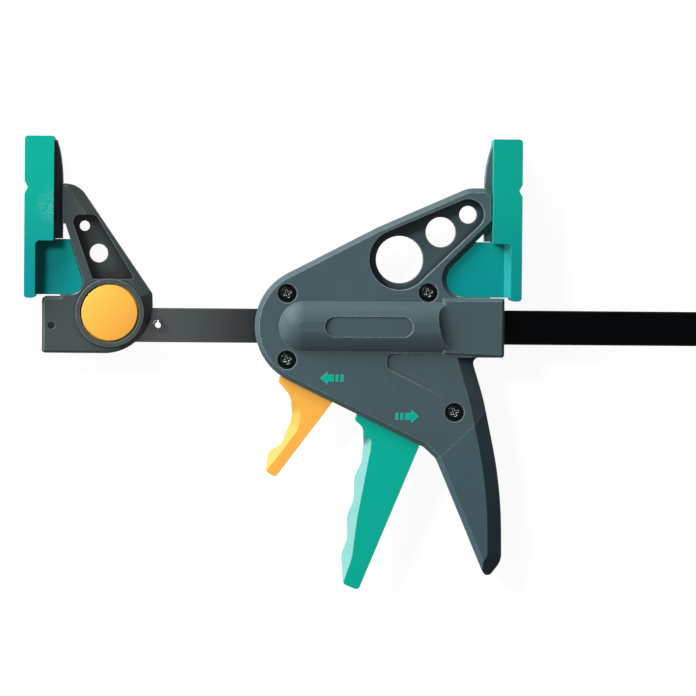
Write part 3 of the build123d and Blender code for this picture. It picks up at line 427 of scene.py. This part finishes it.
    def slopes(self, tree: Tree, place: Socket) -> Socket:
        """Mask of the sloping faces, a little uneven, painted with sheen where the edge colour is
        paler and with shade where it is darker.

        Args:
            tree: node tree to add to.
            place: coordinates on the piece.

        Returns:
            Socket with the mask.
        """
        flat = add_node(tree, "ShaderNodeNewGeometry").outputs["True Normal"]
        lean = add_node(tree, "ShaderNodeSeparateXYZ", None, Vector=flat).outputs["Z"]
        size = add_node(tree, "ShaderNodeMath", {"operation": "ABSOLUTE"}, i0=lean).outputs[0]
        near = {"operation": "COMPARE"}
        slope = add_node(tree, "ShaderNodeMath", near, i0=size, i1=SLOPE_LEAN, i2=SLOPE_SPREAD)
        part = SLOPE_PATCHES.mask(tree, place, most=self.slope_paint, least=self.slope_paint * PATCH_LEAST)
        return add_node(tree, "ShaderNodeMath", MULTIPLY, i0=slope.outputs[0], i1=part).outputs[0]

    def corners(self, tree: Tree, place: Socket) -> Socket:
        """Mask of the painted shade in corners and hollows, broken up by noise.

        Args:
            tree: node tree to add to.
            place: coordinates on the piece.

        Returns:
            Socket with the mask.
        """
        local = {"samples": RAY_SAMPLES, "only_local": True}
        openness = add_node(
            tree, "ShaderNodeAmbientOcclusion", local, Distance=self.hollow_shade_mm * MM
        ).outputs["AO"]
        return add_node(
            tree,
            "ShaderNodeMapRange",
            None,
            Value=openness,
            From_Min=SHADE_FROM,
            From_Max=SHADE_TO,
            To_Max=SHADE_PATCHES.mask(tree, place, most=self.hollow_shade, least=self.hollow_shade * PATCH_LEAST),
        ).outputs[0]

    def speckle(self, tree: Tree, place: Socket) -> Socket:
        """Mask of small light specks, gathered in zones or in the scuffed patch.

        Args:
            tree: node tree to add to.
            place: coordinates on the piece.

        Returns:
            Socket with the mask.
        """
        dots = SPECK_DOTS.mask(tree, place, most=1.0)
        if self.scuff:
            middle = tuple(v * MM for v in self.scuff[:3])
            reach = self.scuff[3] * MM
            away = {"operation": "DISTANCE"}
            far = add_node(tree, "ShaderNodeVectorMath", away, i0=place, i1=middle)
            zone = add_node(
                tree,
                "ShaderNodeMapRange",
                None,
                Value=far.outputs["Value"],
                From_Min=reach,
                From_Max=reach * SCUFF_CORE,
                To_Max=self.specks,
            ).outputs[0]
        else:
            zone = SPECK_ZONES.mask(tree, place, most=self.specks)
        return add_node(tree, "ShaderNodeMath", MULTIPLY, i0=dots, i1=zone).outputs[0]


# Glass-filled nylon from a spark-eroded mould: a dull slate grey with a fine soft grain, with a
# pale line painted on its edges as a highlight and painted shade in its corners and hollows.
HOUSING_NYLON = Finish(
    "moulded_nylon_slate", Slot.HOUSING, "#43555a", "#3b4d52", edge="#b4c9c5", wear_and_highlight=0.42,
    roughness=0.42, specular=0.18, grain_depth_mm=0.012, specks=0.1, edge_mm=0.6,
    hollow_shade=0.75, hollow_shade_mm=4.5,
)
# Thermoplastic rubber moulded over the handle: as grey as the nylon but duller and a little bluer,
# with paler edges that are partly worn and partly a painted highlight.
SLEEVE_RUBBER = Finish(
    "overmoulded_rubber_slate", Slot.SLEEVE, "#435860", "#3c5058", roughness=0.6, specular=0.1,
    grain_depth_mm=0.02, edge="#8fa5a8", wear_and_highlight=0.3, edge_mm=0.5,
)
# The same glass-filled nylon in a darker, more neutral grey, with paler edges that are partly worn
# and partly a painted highlight, and painted shade in its pocket and hollows.
JAW_NYLON = Finish(
    "moulded_nylon_dark_grey", Slot.JAW, "#3f4749", "#373f41", roughness=0.42, specular=0.2,
    edge="#9aa5a6", wear_and_highlight=0.4, specks=0.12, edge_mm=0.5, hollow_shade=0.9, hollow_shade_mm=12.0,
)
# Nylon from a polished mould: saturated teal with a soft satin shine, a pale painted sheen on the
# slopes, and paler edges that are partly worn and partly a painted highlight.
LEVER_NYLON = Finish(
    "satin_moulded_teal_nylon", Slot.LEVER, "#00a893", "#00a38e", roughness=0.38, specular=0.16,
    edge="#95aeb4", wear_and_highlight=0.25, slope_paint=0.6,
)
# Acetal from a polished mould: warm orange with a soft satin shine, with painted shade on the
# slopes, a duller yellow that holds down how pale light from the side turns them, and duller edges.
SIGNAL_ACETAL = Finish(
    "satin_moulded_orange_acetal", Slot.SIGNAL, "#f8b44c", "#f5ad44", roughness=0.36, specular=0.2,
    edge="#b89438", wear_and_highlight=0.2, slope_paint=0.6,
)
# Soft rubber cast in a matt mould: green teal that turns darker and bluer towards the bar, with a
# chalky scuff of fine specks on the fixed jaw's pad and paler edges that are partly worn and partly
# a painted highlight.
PAD_RUBBER = Finish(
    "soft_cast_rubber_teal", Slot.PAD, "#009f8c", "#009986", roughness=0.45, specular=0.14,
    edge="#8fdcd0", wear_and_highlight=0.2, specks=1.0, scuff=(-272.0, 6.2, 18.0, 12.5),
    fade="#00898a", fade_axis=Axis.UP, fade_mm=(20.0, -38.0),
)
# Cold-drawn flat bar, blackened in hot salts, with drawing lines along it: painted grey beside the
# jaw as a painted reflection of the light from the left and nearly black further on, with paler
# edges that are partly worn and partly a painted highlight.
BAR_STEEL = Finish(
    "black_oxide_drawn_steel", Slot.BAR, "#4f5456", "#454a4c", roughness=0.4, metallic=1.0,
    grain_depth_mm=0.008, grain_run=8.0, edge="#6b6a66", wear_and_highlight=0.3, fade="#08090a",
    fade_mm=(-215.0, -115.0),
)
# Blackened and oiled screws, darker and glossier than the bar, with painted glints on their edges
# and painted shade in their cross recesses.
SCREW_STEEL = Finish(
    "black_oxide_screw_steel", Slot.SCREW, "#191d1e", "#121516", roughness=0.24, metallic=1.0,
    edge="#c8cccc", wear_and_highlight=1.0, edge_mm=0.25, hollow_shade=0.9, hollow_shade_mm=1.2,
)
# Blued steel, nearly black, with edges painted bright, partly worn by the tumbling drum and partly
# a painted highlight, and painted shade in its hollows.
PIN_STEEL = Finish(
    "blued_pin_steel", Slot.PIN, "#2e3030", "#242626", roughness=0.3, metallic=1.0,
    edge="#d0cfca", wear_and_highlight=0.45, hollow_shade=0.9, hollow_shade_mm=1.5,
)
# Hardened plate, stamped and tumbled: grey with blurred reflections.
PLATE_STEEL = Finish(
    "stamped_plate_steel", Slot.PLATE, "#8c8a86", "#7c7a77", roughness=0.4, metallic=1.0
)
# Drawn spring wire, bright, with fine lines that run along X.
SPRING_STEEL = Finish(
    "drawn_spring_steel", Slot.SPRING, "#9a9894", "#8a8884", roughness=0.3, metallic=1.0,
    grain_run=6.0,
)

FINISHES = (
    HOUSING_NYLON,
    SLEEVE_RUBBER,
    JAW_NYLON,
    LEVER_NYLON,
    SIGNAL_ACETAL,
    PAD_RUBBER,
    BAR_STEEL,
    SCREW_STEEL,
    PIN_STEEL,
    PLATE_STEEL,
    SPRING_STEEL,
)


@dataclass
class Wardrobe:
    """The finished materials, by the record's slot."""

    made: dict[Slot, bpy.types.Material]

    @classmethod
    def of(cls, finishes: tuple[Finish, ...]) -> "Wardrobe":
        """Makes the material of each finish."""
        return cls({finish.slot: finish.build() for finish in finishes})

    def dress(self, piece: bpy.types.Object, slot: Slot) -> None:
        """Gives a piece one finish on all its slots.

        Args:
            piece: object to dress.
            slot: slot of the record.
        """
        if not piece.material_slots:
            piece.data.materials.append(self.made[slot])
        for place in piece.material_slots:
            place.material = self.made[slot]


@dataclass
class SubAssembly:
    """A group of CAD nodes that share their work, with the slot of each."""

    wardrobe: Wardrobe

    def nodes(self) -> dict[str, Slot]:
        """Names the nodes and their slots."""
        return {}

    def pieces(self) -> list[str]:
        """Builds what is added in mesh code and names it."""
        return []

    def build(self) -> None:
        """Dresses the nodes, builds the added pieces and reports them."""
        for name, slot in self.nodes().items():
            self.wardrobe.dress(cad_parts[name], slot)
            LOG.info("%s: dressed %s", type(self).__name__, name)
        for name in self.pieces():
            LOG.info("%s: built %s", type(self).__name__, name)

    def add_mesh(
        self, name: str, mesh: bmesh.types.BMesh, body: Body, slot: Slot
    ) -> bpy.types.Object:
        """Turns mesh data into a piece that rides on a body.

        Args:
            name: name of the piece.
            mesh: its mesh, which is freed.
            body: body that carries it.
            slot: slot of the record for its finish.

        Returns:
            The piece.
        """
        data = bpy.data.meshes.new(name)
        mesh.to_mesh(data)
        mesh.free()
        old_normals = data.attributes.get("custom_normal")
        if old_normals:
            data.attributes.remove(old_normals)
        data.shade_smooth()
        data.set_sharp_from_angle(angle=math.radians(SHARP_DEG))
        piece = bpy.data.objects.new(name, data)
        bpy.context.scene.collection.objects.link(piece)
        self.wardrobe.dress(piece, slot)
        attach(piece, body.value)
        return piece


@dataclass(frozen=True)
class DirectionMark:
    """Printed arrow with short bars behind its shaft.

    Attributes:
        name: name of the piece.
        tip: place of the arrow's tip.
        heading: way that it points.
        head: length of the arrow's head.
        head_half: half the head's width.
        shaft: length of the shaft.
        shaft_half: half the shaft's width.
        gap: space before each bar.
        bar: length of each bar.
        bars: number of bars.
        thick: how far the ink stands proud.
    """

    name: str
    tip: Point
    heading: Heading
    head: float = 4.6
    head_half: float = 4.0
    shaft: float = 3.6
    shaft_half: float = 2.1
    gap: float = 0.9
    bar: float = 2.0
    bars: int = 2
    thick: float = 0.06

    def outlines(self) -> list[list[Point]]:
        """Works out the arrow and its bars, from the tip backwards.

        Returns:
            Closed outlines as (back, side) points.
        """
        back = self.head + self.shaft
        arrow = [
            (0.0, 0.0),
            (self.head, self.head_half),
            (self.head, self.shaft_half),
            (back, self.shaft_half),
            (back, -self.shaft_half),
            (self.head, -self.shaft_half),
            (self.head, -self.head_half),
        ]
        found = [arrow]
        half = self.shaft_half
        for count in range(self.bars):
            start = back + self.gap + count * (self.gap + self.bar)
            end = start + self.bar
            found.append([(start, half), (end, half), (end, -half), (start, -half)])
        return found

    def mesh(self, floor: float) -> bmesh.types.BMesh:
        """Builds the ink as thin slabs.

        Args:
            floor: height of the face that it is printed on.

        Returns:
            The mesh, in metres.
        """
        made = bmesh.new()
        for points in self.outlines():
            ring = [
                made.verts.new(
                    (
                        (self.tip[0] - self.heading.value * back) * MM,
                        (self.tip[1] + side) * MM,
                        (floor + self.thick) * MM,
                    )
                )
                for back, side in points
            ]
            top = made.faces.new(ring)
            low = bmesh.ops.extrude_face_region(made, geom=[top])["geom"]
            moved = [v for v in low if isinstance(v, bmesh.types.BMVert)]
            bmesh.ops.translate(made, verts=moved, vec=(0, 0, -2 * self.thick * MM))
        bmesh.ops.recalc_face_normals(made, faces=made.faces)
        return made


@dataclass
class Housing(SubAssembly):
    """Two moulded shells, the soft sleeve, the screws and the printed marks.

    Attributes:
        face: height of the near shell's flat face.
        marks: direction marks over the release trigger and the pump lever.
    """

    face: float = 12.0
    marks: tuple[DirectionMark, ...] = (
        DirectionMark("mark_over_trigger", (-117.1, -92.9), Heading.LEFT),
        DirectionMark("mark_over_lever", (-58.9, -114.9), Heading.RIGHT),
    )

    def nodes(self) -> dict[str, Slot]:
        """Names the nodes and their slots."""
        return {
            "housing_near_shell": Slot.HOUSING,
            "housing_far_shell": Slot.HOUSING,
            "handle_sleeve": Slot.SLEEVE,
            "housing_screws": Slot.SCREW,
            "lever_pivot_pin": Slot.PIN,
            "trigger_pivot_pin": Slot.PIN,
        }

    def pieces(self) -> list[str]:
        """Prints the marks on the near shell."""
        for mark in self.marks:
            self.add_mesh(mark.name, mark.mesh(self.face), Body.HOUSING, Slot.LEVER)
        return [mark.name for mark in self.marks]


@dataclass(frozen=True)
class FingerPiece:
    """Lever or trigger whose bevel runs from its line out to the front edge.

    The node has the bevel's line and slope, but its slope starts at the line and rises away from
    the front. Here the slope is turned over: it starts at the line and falls to the front edge.

    Attributes:
        name: name of the piece.
        node: CAD node that it stands for, which gives its outline and the bevel's line.
        body: body that carries it.
        slot: slot of its finish.
        steepest: least part of a sloping face's normal along Z.
        flattest: most part of it.
        level: turn between faces that counts as none, in degrees.
        near: length that counts as none, in metres.
    """

    name: str
    node: str
    body: Body
    slot: Slot
    steepest: float = 0.1
    flattest: float = 0.95
    level: float = 0.5
    near: float = 1e-5

    def mesh(self) -> bmesh.types.BMesh:
        """Copies the node's mesh and turns its bevel over.

        Returns:
            The mesh, in metres.
        """
        made = bmesh.new()
        made.from_mesh(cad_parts[self.node].data)
        bmesh.ops.remove_doubles(made, verts=made.verts, dist=self.near)
        made.normal_update()
        slope = {f for f in made.faces if self.steepest < abs(f.normal.z) < self.flattest}
        sloping = {vert for face in slope for vert in face.verts}
        heights = [abs(vert.co.z) for vert in sloping]
        top, foot = max(heights), min(heights)
        lean = max(abs(face.normal.z) for face in slope)
        fall = math.sqrt(1 - lean**2) / lean
        line = [
            tuple(vert.co.copy() for vert in edge.verts)
            for edge in made.edges
            if sum(face in slope for face in edge.link_faces) == 1
            and all(abs(abs(vert.co.z) - foot) < self.near for vert in edge.verts)
        ]
        for vert in made.verts:
            side = math.copysign(1.0, vert.co.z)
            if vert in sloping:
                vert.co.z = side * top
            elif abs(abs(vert.co.z) - foot) < self.near:
                reach = min(self.reach(vert.co, *ends) for ends in line if ends[0].z * side > 0)
                vert.co.z = side * (top - fall * reach)
        made.normal_update()
        bmesh.ops.dissolve_limit(
            made, angle_limit=math.radians(self.level), verts=made.verts, edges=made.edges
        )
        return made

    @staticmethod
    def reach(point: Vector, start: Vector, end: Vector) -> float:
        """Distance from a point to a stretch of line.

        Args:
            point: the point.
            start: start of the stretch.
            end: end of the stretch.

        Returns:
            The distance, in metres.
        """
        run = end - start
        share = (point - start).dot(run) / run.length_squared if run.length_squared else 0.0
        return (start + run * min(1.0, max(0.0, share)) - point).length


@dataclass(frozen=True)
class Coil:
    """Spring copied from its CAD node into a piece of its own that rides on a body.

    Attributes:
        name: name of the piece.
        node: CAD node that it stands for, which gives its shape.
        body: body that carries it.
        joint: joint that presses it. Not used.
        axis: axis of the coil.
        seat: place of its fixed end along the axis. Not used.
        travel: how far the joint presses its other end. Not used.
    """

    name: str
    node: str
    body: Body
    joint: str
    axis: Axis
    seat: float
    travel: float

    def add_to(self, owner: SubAssembly) -> str:
        """Adds the spring to its sub-assembly.

        Args:
            owner: sub-assembly that dresses it.

        Returns:
            Name of the piece.
        """
        made = bmesh.new()
        made.from_mesh(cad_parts[self.node].data)
        way = self.axis.way()
        piece = owner.add_mesh(self.name, made, self.body, Slot.SPRING)
        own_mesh(piece)
        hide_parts(self.node)
        return self.name


@dataclass
class Controls(SubAssembly):
    """Pump lever, release trigger and the fixed jaw's release button.

    Attributes:
        grips: lever and trigger with their finger bevels.
        coil: spring under the button.
    """

    grips: tuple[FingerPiece, ...] = (
        FingerPiece("pump_lever_grip", "pump_lever", Body.LEVER, Slot.LEVER),
        FingerPiece("release_trigger_grip", "release_trigger", Body.TRIGGER, Slot.SIGNAL),
    )
    coil: Coil = Coil(
        "button_coil", "button_spring", Body.BAR, "button_slide", Axis.OUT, seat=5.2, travel=5.05
    )

    def nodes(self) -> dict[str, Slot]:
        """Names the nodes and their slots."""
        return {
            "pump_lever": Slot.LEVER,
            "release_trigger": Slot.SIGNAL,
            "release_button": Slot.SIGNAL,
            "lock_pin": Slot.PIN,
            "button_spring": Slot.SPRING,
        }

    def pieces(self) -> list[str]:
        """Builds the lever and the trigger with their bevels, and the button's spring."""
        for grip in self.grips:
            piece = self.add_mesh(grip.name, grip.mesh(), grip.body, grip.slot)
            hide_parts(grip.node)
        return [grip.name for grip in self.grips] + [self.coil.add_to(self)]


@dataclass
class Drive(SubAssembly):
    """Drive plates, brake plate and their springs, inside the housing.

    Attributes:
        plates: number of drive plates.
        coils: springs that the drive plates and the brake plate press.
    """

    plates: int = 3
    coils: tuple[Coil, ...] = (
        Coil(
            "drive_coil", "drive_spring", Body.HOUSING, "drive_slide", Axis.ALONG,
            seat=-112.0, travel=5.05,
        ),
        Coil(
            "brake_coil", "brake_spring", Body.HOUSING, "brake_hinge", Axis.ALONG,
            seat=-136.5, travel=2.8,
        ),
    )

    def nodes(self) -> dict[str, Slot]:
        """Names the nodes and their slots."""
        found = {f"drive_plate_{i + 1}": Slot.PLATE for i in range(self.plates)}
        found["brake_plate"] = Slot.PLATE
        found["drive_spring"] = Slot.SPRING
        found["brake_spring"] = Slot.SPRING
        return found

    def pieces(self) -> list[str]:
        """Builds the springs."""
        return [coil.add_to(self) for coil in self.coils]


@dataclass
class Bar(SubAssembly):
    """Flat bar with a hollow spring pin near each end."""

    ends: tuple[str, ...] = ("jaw_end", "free_end")

    def nodes(self) -> dict[str, Slot]:
        """Names the nodes and their slots."""
        found = {f"stop_pin_{end}": Slot.PIN for end in self.ends}
        found["bar"] = Slot.BAR
        return found


@dataclass
class Jaws(SubAssembly):
    """Body of the fixed jaw and the soft pads of both jaws."""

    pads: tuple[str, ...] = ("sliding_pad", "fixed_pad")

    def nodes(self) -> dict[str, Slot]:
        """Names the nodes and their slots."""
        found = {name: Slot.PAD for name in self.pads}
        found["fixed_jaw_body"] = Slot.JAW
        return found


@dataclass(frozen=True)
class Lamp:
    """Area lamp that looks at the middle of the picture.

    Attributes:
        name: name of the lamp.
        azimuth: direction it stands in, from +X towards +Y, in degrees.
        elevation: height above the floor's plane, in degrees.
        far: distance in metres.
        size: width and height in metres.
        power: watts.
    """

    name: str
    azimuth: float
    elevation: float
    far: float
    size: Point
    power: float

    def build(self, aim: Point) -> None:
        """Makes the lamp.

        Args:
            aim: point on the plane z = 0 that it looks at.
        """
        turn, rise = math.radians(self.azimuth), math.radians(self.elevation)
        flat = math.cos(rise)
        away = Vector((math.cos(turn) * flat, math.sin(turn) * flat, math.sin(rise)))
        data = bpy.data.lights.new(self.name, "AREA")
        data.shape = "RECTANGLE"
        data.size, data.size_y = self.size
        data.energy = self.power
        lamp = bpy.data.objects.new(self.name, data)
        lamp.location = Vector((aim[0], aim[1], 0)) + away * self.far
        lamp.rotation_euler = away.to_track_quat("Z", "Y").to_euler()
        bpy.context.scene.collection.objects.link(lamp)


@dataclass
class Studio:
    """Floor, lamps, world and camera, fitted to the picture.

    Attributes:
        floor_mm: height of the floor.
        aim: middle of the picture on the plane z = 0, in metres.
        frame_width: width seen there, in metres.
        distance: camera distance, in metres.
        tilt: lean of the camera towards +Y, in degrees.
        pan: lean of the camera towards -X, in degrees.
        roll: clockwise turn of the object in the picture, in degrees.
        soft: strength of the even light from all round.
        paper: share of the light that the floor throws back.
        glow: light that the floor adds for the camera, so that it shows white.
        floor_size: width of the floor, in metres.
        sensor_mm: width of the camera's sensor.
        sight: how far the camera sees, in metres.
        lamps: the lamps.
    """

    floor_mm: float = -18.0
    aim: Point = (-0.10065, -0.07541)
    frame_width: float = 0.40763
    distance: float = 3.32
    tilt: float = 1.25
    pan: float = 1.29
    roll: float = 0.46
    soft: float = 0.055
    paper: float = 0.2
    glow: float = 0.94
    floor_size: float = 12.0
    sensor_mm: float = 36.0
    sight: float = 50.0
    lamps: tuple[Lamp, ...] = (
        Lamp("key", azimuth=146, elevation=44, far=2.4, size=(0.55, 0.55), power=38.0),
        Lamp("left_strip", azimuth=185, elevation=16, far=2.2, size=(2.0, 0.7), power=26.0),
        Lamp("upper_strip", azimuth=125, elevation=19, far=2.2, size=(2.0, 0.7), power=72.0),
    )

    def build(self) -> None:
        """Makes the whole studio."""
        self.world()
        self.floor()
        self.camera()
        for lamp in self.lamps:
            lamp.build(self.aim)
        bpy.context.scene.view_settings.view_transform = "Standard"

    def pale_rays(self, tree: Tree) -> Socket:
        """Mask of the rays that see the backdrop white: camera, glossy and transmission rays.

        Args:
            tree: node tree to add to.

        Returns:
            Socket that is 1 for those rays.
        """
        rays = add_node(tree, "ShaderNodeLightPath").outputs
        capped = {"operation": "ADD", "use_clamp": True}
        pair = add_node(
            tree, "ShaderNodeMath", capped, i0=rays["Is Camera Ray"], i1=rays["Is Glossy Ray"]
        )
        return add_node(
            tree, "ShaderNodeMath", capped, i0=pair.outputs[0], i1=rays["Is Transmission Ray"]
        ).outputs[0]

    def world(self) -> None:
        """Soft even light that the camera and reflections see as white."""
        world = bpy.data.worlds.new("studio_world")
        world.use_nodes = True
        tree = world.node_tree
        tree.nodes.clear()
        white = linear(WHITE)
        soft = add_node(tree, "ShaderNodeBackground", None, Color=white, Strength=self.soft)
        seen = add_node(tree, "ShaderNodeBackground", None, Color=white, Strength=1.0)
        rays = self.pale_rays(tree)
        both = add_node(
            tree, "ShaderNodeMixShader", None, Fac=rays, i1=soft.outputs[0], i2=seen.outputs[0]
        )
        add_node(tree, "ShaderNodeOutputWorld", None, Surface=both.outputs[0])
        bpy.context.scene.world = world

    def floor(self) -> None:
        """Plain pale floor that keeps a soft shadow."""
        place = (0, 0, self.floor_mm * MM)
        bpy.ops.mesh.primitive_plane_add(size=self.floor_size, location=place)
        floor = bpy.context.object
        floor.name = "studio_floor"
        material = bpy.data.materials.new("studio_paper_white")
        material.use_nodes = True
        tree = material.node_tree
        tree.nodes.clear()
        paper = add_node(tree, "ShaderNodeBsdfDiffuse", None, Color=(self.paper,) * 3 + (1,))
        lift = add_node(tree, "ShaderNodeEmission", None, Color=linear(WHITE), Strength=self.glow)
        dark = add_node(tree, "ShaderNodeEmission", None, Strength=0.0)
        shown = add_node(
            tree,
            "ShaderNodeMixShader",
            None,
            Fac=self.pale_rays(tree),
            i1=dark.outputs[0],
            i2=lift.outputs[0],
        )
        both = add_node(tree, "ShaderNodeAddShader", None, i0=paper.outputs[0], i1=shown.outputs[0])
        add_node(tree, "ShaderNodeOutputMaterial", None, Surface=both.outputs[0])
        floor.data.materials.append(material)

    def camera(self) -> None:
        """Camera fitted to the picture's outline."""
        data = bpy.data.cameras.new("camera")
        data.sensor_width = self.sensor_mm
        data.lens = self.sensor_mm * self.distance / self.frame_width
        data.clip_end = self.sight
        camera = bpy.data.objects.new("camera", data)
        tilt, pan, roll = (math.radians(v) for v in (self.tilt, self.pan, self.roll))
        facing = math.cos(pan)
        back = Vector((-math.sin(pan), facing * math.sin(tilt), facing * math.cos(tilt)))
        up = Vector((0, 1, 0))
        up = (up - back * up.dot(back)).normalized()
        right = up.cross(back)
        turn = Matrix.Rotation(roll, 3, back)
        up, right = turn @ up, turn @ right
        matrix = Matrix((right, up, back)).transposed().to_4x4()
        matrix.translation = Vector((self.aim[0], self.aim[1], 0)) + back * self.distance
        camera.matrix_world = matrix
        bpy.context.scene.collection.objects.link(camera)
        bpy.context.scene.camera = camera


def main() -> None:
    """Builds the studio and the sub-assemblies."""
    logging.basicConfig(level=logging.INFO)
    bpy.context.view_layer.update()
    Studio().build()
    wardrobe = Wardrobe.of(FINISHES)
    for part in (Housing, Controls, Drive, Bar, Jaws):
        part(wardrobe).build()


if __name__ == "__main__":
    main()
